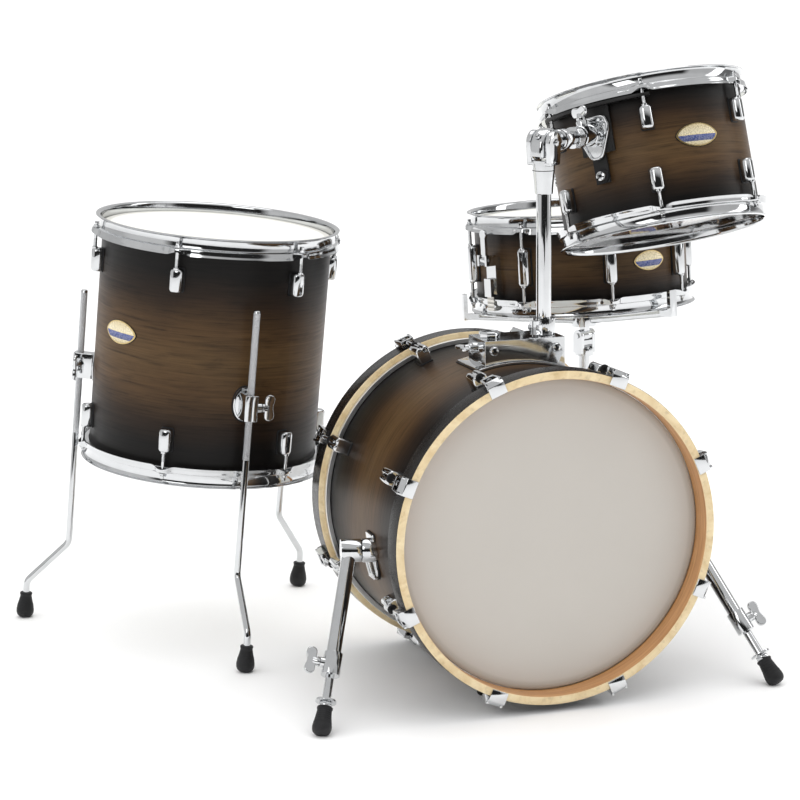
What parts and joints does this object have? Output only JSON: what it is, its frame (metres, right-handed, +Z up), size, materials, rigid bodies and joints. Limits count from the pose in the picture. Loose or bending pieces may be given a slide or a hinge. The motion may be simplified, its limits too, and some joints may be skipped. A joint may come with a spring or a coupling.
{
  "type": "acoustic drum kit",
  "caption": "Acoustic drum kit: bass drum with spurs and tom holder, tilted rack tom, floor tom on bent legs, and snare drum on a tripod stand; black burst shells with chrome hardware.",
  "frame": {"origin": "centre of the kit's outline on the floor", "axes": "+Z up, -Y the way the bass drum's front head faces, +X to the right seen from the front"},
  "size_m": [1.1834, 0.9572, 0.8984],
  "materials": {
    "lacquered_shell": "satin black burst lacquer over brown maple",
    "maple_hoop": "satin, black outside and clear on the front edge",
    "coated_grey_film": "coated",
    "coated_white_film": "coated",
    "clear_film": "clear",
    "chrome_plate": "polished",
    "plated_steel": "plated",
    "rubber_feet": "matte",
    "black_strip": "satin",
    "badge_plate": "printed"
  },
  "bodies": {
    "bass_drum": {"bass_shell": "lacquered_shell", "bass_hoops": "maple_hoop", "bass_resonant_head": "coated_grey_film", "bass_batter_head": "coated_white_film", "bass_lugs": "chrome_plate", "bass_claws": "chrome_plate", "bass_rods": "plated_steel", "tom_mount": "chrome_plate", "spur_brackets": "chrome_plate"},
    "lock": {"memory_lock": "chrome_plate"},
    "post": {"holder_post": "chrome_plate", "tilter_body": "chrome_plate"},
    "arm": {"tom_arm": "chrome_plate"},
    "rack_tom": {"tom_shell": "lacquered_shell", "tom_batter_head": "coated_white_film", "tom_clear_head": "clear_film", "tom_hoops": "chrome_plate", "tom_lugs": "chrome_plate", "tom_rods": "plated_steel", "tom_suspension": "black_strip", "tom_bracket": "chrome_plate", "tom_badge": "badge_plate"},
    "tom_wing": {"tom_wing_bolt": "chrome_plate"},
    "mount_wing": {"mount_wing_bolt": "chrome_plate"},
    "spur_left": {"spur_tube_left": "chrome_plate"},
    "spur_right": {"spur_tube_right": "chrome_plate"},
    "spur_end_left": {"spur_rod_left": "chrome_plate", "spur_foot_left": "rubber_feet"},
    "spur_end_right": {"spur_rod_right": "chrome_plate", "spur_foot_right": "rubber_feet"},
    "spur_wing_left": {"spur_wing_left": "chrome_plate"},
    "spur_wing_right": {"spur_wing_right": "chrome_plate"},
    "floor_tom": {"floor_shell": "lacquered_shell", "floor_heads": "coated_white_film", "floor_hoops": "chrome_plate", "floor_lugs": "chrome_plate", "floor_rods": "plated_steel", "floor_brackets": "chrome_plate", "floor_badge": "badge_plate"},
    "leg_left": {"floor_leg_left": "chrome_plate", "floor_foot_left": "rubber_feet"},
    "leg_front": {"floor_leg_front": "chrome_plate", "floor_foot_front": "rubber_feet"},
    "leg_back": {"floor_leg_back": "chrome_plate", "floor_foot_back": "rubber_feet"},
    "leg_wing_left": {"floor_wing_left": "chrome_plate"},
    "leg_wing_front": {"floor_wing_front": "chrome_plate"},
    "leg_wing_back": {"floor_wing_back": "chrome_plate"},
    "stand": {"stand_base": "chrome_plate"},
    "stand_upper": {"stand_tube": "chrome_plate"},
    "snare_drum": {"stand_basket": "chrome_plate", "snare_shell": "lacquered_shell", "snare_heads": "coated_white_film", "snare_hoops": "chrome_plate", "snare_lugs": "chrome_plate", "snare_rods": "plated_steel", "snare_strainer": "chrome_plate", "snare_wires": "plated_steel", "snare_badge": "badge_plate"},
    "lever": {"strainer_lever": "chrome_plate"}
  },
  "joints": [
    {"name": "lock_turn", "type": "hinge", "parent": "bass_drum", "child": "lock", "pos_m": [0.116, -0.25918, 0.51437], "axis": [0, 0.0297, 0.9996], "range_deg": [-50, 3]},
    {"name": "post_height", "type": "slide", "parent": "lock", "child": "post", "axis": [0, 0.0297, 0.9996], "range_m": [-0.05, 0.09]},
    {"name": "tilter_hinge", "type": "hinge", "parent": "post", "child": "arm", "pos_m": [0.116, -0.25074, 0.79864], "axis": [-0.6133, 0.7898, 0], "range_deg": [-8, 8]},
    {"name": "arm_slide", "type": "slide", "parent": "arm", "child": "rack_tom", "axis": [0.7895, 0.6131, -0.0274], "range_m": [0, 0.025]},
    {"name": "tom_wing_turn", "type": "hinge", "parent": "rack_tom", "child": "tom_wing", "pos_m": [0.2076, -0.16863, 0.82401], "axis": [-0.1566, 0.2444, 0.9569], "continuous": true},
    {"name": "mount_wing_turn", "type": "hinge", "parent": "bass_drum", "child": "mount_wing", "pos_m": [-0.007, -0.2596, 0.50037], "axis": [-1, 0, 0], "continuous": true},
    {"name": "spur_fold_left", "type": "hinge", "parent": "bass_drum", "child": "spur_left", "pos_m": [-0.204, -0.309, 0.222], "axis": [0.9781, -0.208, 0], "range_deg": [0, 127]},
    {"name": "spur_slide_left", "type": "slide", "parent": "spur_left", "child": "spur_end_left", "axis": [-0.3305, -0.5545, -0.7638], "range_m": [-0.02, 0.04]},
    {"name": "spur_wing_turn_left", "type": "hinge", "parent": "spur_left", "child": "spur_wing_left", "pos_m": [-0.28678, -0.40363, 0.09204], "axis": [-0.9438, 0.1867, 0.2728], "continuous": true},
    {"name": "spur_fold_right", "type": "hinge", "parent": "bass_drum", "child": "spur_right", "pos_m": [0.32, -0.309, 0.222], "axis": [0.9781, 0.208, 0], "range_deg": [0, 127]},
    {"name": "spur_slide_right", "type": "slide", "parent": "spur_right", "child": "spur_end_right", "axis": [0.3305, -0.5545, -0.7638], "range_m": [-0.02, 0.04]},
    {"name": "spur_wing_turn_right", "type": "hinge", "parent": "spur_right", "child": "spur_wing_right", "pos_m": [0.40278, -0.40363, 0.09204], "axis": [0.9438, 0.1867, 0.2728], "continuous": true},
    {"name": "floor_tom_place", "type": "slide", "parent": "bass_drum", "child": "floor_tom", "axis": [-1, 0, 0], "range_m": [0, 0.3]},
    {"name": "leg_slide_left", "type": "slide", "parent": "floor_tom", "child": "leg_left", "axis": [0.0827, -0.0212, 0.9963], "range_m": [-0.1, 0.15]},
    {"name": "leg_wing_turn_left", "type": "hinge", "parent": "floor_tom", "child": "leg_wing_left", "pos_m": [-0.49463, 0.18766, 0.4177], "axis": [-0.4455, -0.8951, 0.0179], "continuous": true},
    {"name": "leg_slide_front", "type": "slide", "parent": "floor_tom", "child": "leg_front", "axis": [0.0827, -0.0212, 0.9963], "range_m": [-0.1, 0.15]},
    {"name": "leg_wing_turn_front", "type": "hinge", "parent": "floor_tom", "child": "leg_wing_front", "pos_m": [-0.27078, -0.08905, 0.39321], "axis": [0.9948, 0.0619, -0.0813], "continuous": true},
    {"name": "leg_slide_back", "type": "slide", "parent": "floor_tom", "child": "leg_back", "axis": [0.0827, -0.0212, 0.9963], "range_m": [-0.1, 0.15]},
    {"name": "leg_wing_turn_back", "type": "hinge", "parent": "floor_tom", "child": "leg_wing_back", "pos_m": [-0.14349, 0.24421, 0.38975], "axis": [-0.5493, 0.8332, 0.0634], "continuous": true},
    {"name": "stand_place", "type": "slide", "parent": "bass_drum", "child": "stand", "axis": [0, 1, 0], "range_m": [0, 0.3]},
    {"name": "stand_height", "type": "slide", "parent": "stand", "child": "stand_upper", "axis": [0, 0, 1], "range_m": [-0.03, 0.06]},
    {"name": "basket_tilt", "type": "hinge", "parent": "stand_upper", "child": "snare_drum", "pos_m": [0.39834, 0.25768, 0.39919], "axis": [-0.9336, -0.3584, 0], "range_deg": [-5, 10]},
    {"name": "strainer_lever_turn", "type": "hinge", "parent": "snare_drum", "child": "lever", "pos_m": [0.20093, 0.2172, 0.54519], "axis": [0.2625, -0.9609, 0.0885], "range_deg": [0, 90]}
  ]
}
